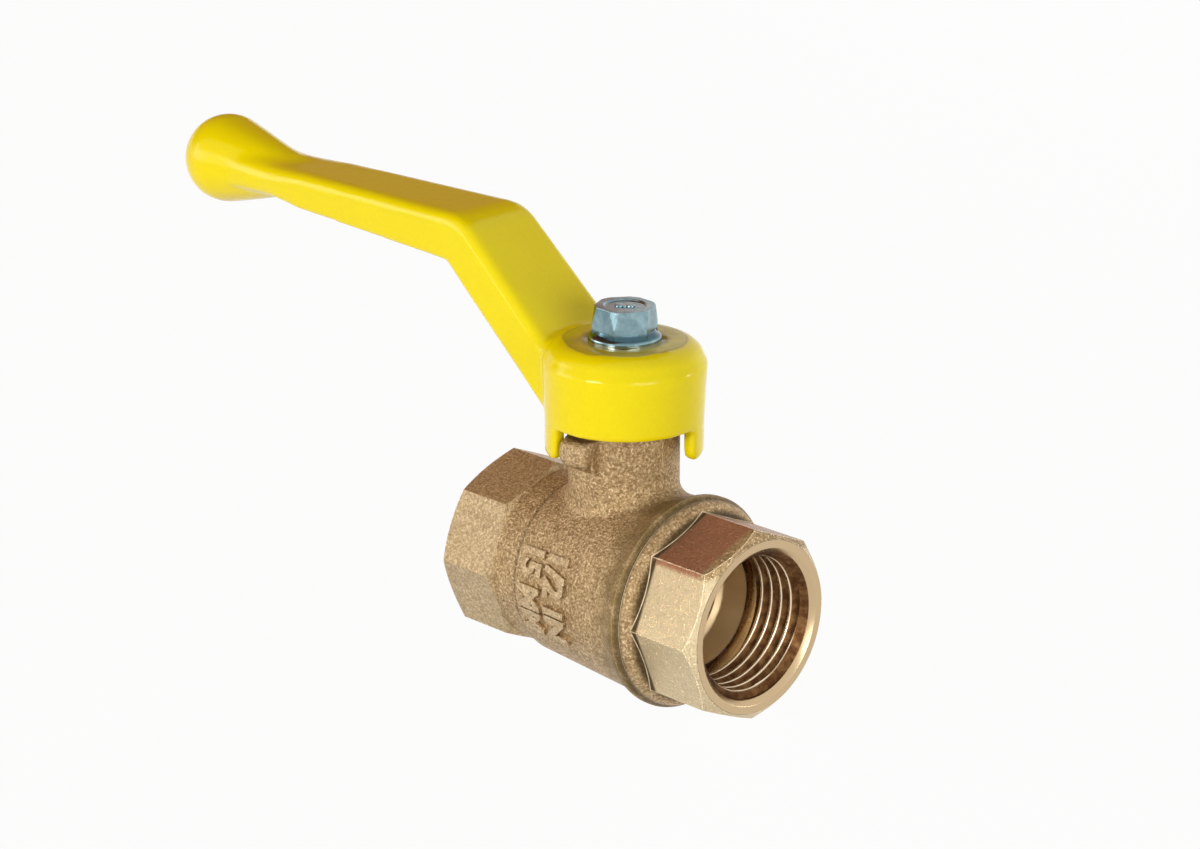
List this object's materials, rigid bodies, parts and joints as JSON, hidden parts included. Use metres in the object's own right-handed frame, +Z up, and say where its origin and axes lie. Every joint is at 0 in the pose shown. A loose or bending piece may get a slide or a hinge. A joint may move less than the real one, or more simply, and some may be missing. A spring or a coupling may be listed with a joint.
{
  "type": "lever ball valve",
  "caption": "Brass lever ball valve for half inch pipe, female threads at both ends, with a long cranked yellow lever that turns a quarter turn.",
  "frame": {"origin": "centre of the ball, where the pipe's line meets the stem's axis", "axes": "+X along the pipe towards the end connector, +Z up the stem towards the lever; the lever lies along -X when the valve is open, which is the pose at rest"},
  "size_m": [0.1209, 0.0304, 0.0677],
  "materials": {
    "forged_brass": "blasted, fine grained",
    "chromed_ball": "polished",
    "turned_brass": "turned",
    "seat_plastic": "smooth",
    "black_rubber": "matt",
    "yellow_paint": "glossy",
    "zinc_plate": "plated, satin"
  },
  "bodies": {
    "valve_body": {"body": "forged_brass", "end_connector": "forged_brass", "seat_rear": "seat_plastic", "seat_front": "seat_plastic", "thrust_washer": "seat_plastic", "packing": "seat_plastic", "gland_nut": "turned_brass"},
    "operating": {"stem": "turned_brass", "ball": "chromed_ball", "lower_o_ring": "black_rubber", "upper_o_ring": "black_rubber", "lever": "yellow_paint", "lever_screw": "zinc_plate"}
  },
  "joints": [
    {"name": "lever_turn", "type": "hinge", "parent": "valve_body", "child": "operating", "pos_m": [0, 0, 0], "axis": [0, 0, 1], "range_deg": [-90, 0]}
  ]
}
